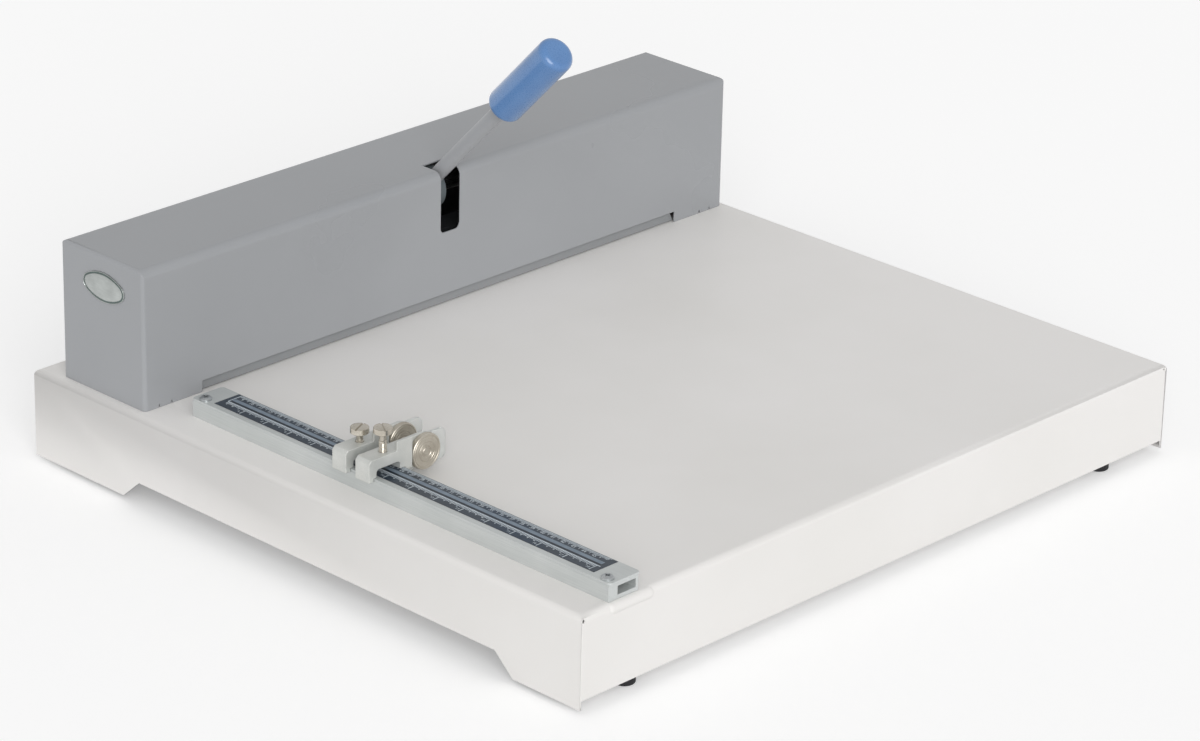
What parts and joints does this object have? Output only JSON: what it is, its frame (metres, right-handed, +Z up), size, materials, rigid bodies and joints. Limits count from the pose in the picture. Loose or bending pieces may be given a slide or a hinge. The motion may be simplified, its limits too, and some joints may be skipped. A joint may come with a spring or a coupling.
{
  "type": "desktop paper creasing machine",
  "caption": "Desktop paper creasing machine: flat folded-steel base, long fixed head cover over a lever-driven creasing blade, and a side rail with sliding swing-up paper stops.",
  "frame": {"origin": "under the middle of the base, on the surface the rubber feet stand on", "axes": "+X to the right along the head as the operator sees it, +Y from the operator to the back, +Z up"},
  "size_m": [0.635, 0.5764, 0.3175],
  "materials": {
    "base_paint": "fine powder coat, warm light grey",
    "head_paint": "smooth satin enamel, mid grey",
    "badge_metal": "satin, bare",
    "foot_rubber": "matt",
    "zinc_steel": "zinc plated",
    "black_steel": "black oxide",
    "frame_paint": "grey machine enamel",
    "ground_steel": "ground",
    "guide_steel": "grey enamel",
    "bush_brass": "turned",
    "hub_paint": "turned and lightly oiled",
    "rod_chrome": "satin chrome",
    "grip_plastic": "matt blue",
    "rail_aluminium": "extruded, satin",
    "scale_film": "printed film with plain numbers and ticks",
    "stop_aluminium": "machined, clear anodised",
    "turned_nickel": "turned and nickel plated",
    "gauge_plastic": "milky translucent"
  },
  "bodies": {
    "machine": {"base_casing": "base_paint", "front_left_foot": "foot_rubber", "front_right_foot": "foot_rubber", "rear_left_foot": "foot_rubber", "rear_right_foot": "foot_rubber", "foot_screws": "zinc_steel", "front_foot_rail": "base_paint", "rear_foot_rail": "base_paint", "head_cover": "head_paint", "cover_screws": "zinc_steel", "oval_plate": "badge_metal", "bed_bar": "frame_paint", "matrix_bar": "ground_steel", "matrix_screws": "zinc_steel", "left_frame": "frame_paint", "right_frame": "frame_paint", "frame_bolts": "black_steel", "tie_bar": "ground_steel", "tie_screws": "black_steel", "left_bush": "bush_brass", "right_bush": "bush_brass", "paper_guide": "guide_steel", "guide_screws": "zinc_steel", "left_post": "ground_steel", "right_post": "ground_steel", "side_rail": "rail_aluminium", "rail_plate": "rail_aluminium", "scale_strip": "scale_film", "rail_screws": "zinc_steel", "rail_nuts": "zinc_steel"},
    "lever": {"drive_shaft": "ground_steel", "lever_hub": "hub_paint", "lever_rod": "rod_chrome", "lever_grip": "grip_plastic", "left_eccentric": "ground_steel", "right_eccentric": "ground_steel", "set_screws": "black_steel"},
    "blade_beam": {"blade_beam": "frame_paint", "left_follower": "ground_steel", "right_follower": "ground_steel", "follower_screws": "black_steel", "crease_blade": "ground_steel", "blade_screws": "black_steel", "left_spring": "zinc_steel", "right_spring": "zinc_steel"},
    "front_stop": {"front_stop": "stop_aluminium", "front_pivot": "ground_steel"},
    "front_thumbscrew": {"front_thumbscrew": "turned_nickel"},
    "front_disc": {"front_disc": "turned_nickel"},
    "front_gauge": {"front_gauge": "gauge_plastic"},
    "rear_stop": {"rear_stop": "stop_aluminium", "rear_pivot": "ground_steel"},
    "rear_thumbscrew": {"rear_thumbscrew": "turned_nickel"},
    "rear_disc": {"rear_disc": "turned_nickel"},
    "rear_gauge": {"rear_gauge": "gauge_plastic"}
  },
  "joints": [
    {"name": "lever_swing", "type": "hinge", "parent": "machine", "child": "lever", "pos_m": [0, 0.1985, 0.1617], "axis": [1, 0, 0], "range_deg": [0, 66], "stiffness_Nm_per_rad": 1.2, "springref_deg": -40.11},
    {"name": "blade_drop", "type": "slide", "parent": "machine", "child": "blade_beam", "axis": [0, 0, -1], "range_m": [0, 0.00578], "deforming": ["left_spring", "right_spring"]},
    {"name": "front_stop_slide", "type": "slide", "parent": "machine", "child": "front_stop", "axis": [0, 1, 0], "range_m": [-0.205, 0.004]},
    {"name": "front_thumbscrew_turn", "type": "hinge", "parent": "front_stop", "child": "front_thumbscrew", "pos_m": [-0.273, -0.046, 0.1137], "axis": [0, 0, 1], "continuous": true},
    {"name": "front_disc_turn", "type": "hinge", "parent": "front_stop", "child": "front_disc", "pos_m": [-0.2367, -0.051, 0.0935], "axis": [0, 1, 0], "continuous": true},
    {"name": "front_gauge_swing", "type": "hinge", "parent": "front_stop", "child": "front_gauge", "pos_m": [-0.2367, -0.044, 0.0935], "axis": [0, -1, 0], "range_deg": [0, 95]},
    {"name": "rear_stop_slide", "type": "slide", "parent": "machine", "child": "rear_stop", "axis": [0, 1, 0], "range_m": [-0.004, 0.134]},
    {"name": "rear_thumbscrew_turn", "type": "hinge", "parent": "rear_stop", "child": "rear_thumbscrew", "pos_m": [-0.273, -0.022, 0.1137], "axis": [0, 0, 1], "continuous": true},
    {"name": "rear_disc_turn", "type": "hinge", "parent": "rear_stop", "child": "rear_disc", "pos_m": [-0.2367, -0.027, 0.0935], "axis": [0, 1, 0], "continuous": true},
    {"name": "rear_gauge_swing", "type": "hinge", "parent": "rear_stop", "child": "rear_gauge", "pos_m": [-0.2367, -0.02, 0.0935], "axis": [0, -1, 0], "range_deg": [0, 95]}
  ],
  "couplings": [
    {"joint": "blade_drop", "follows": "lever_swing", "m_per_rad": 0.005012}
  ]
}
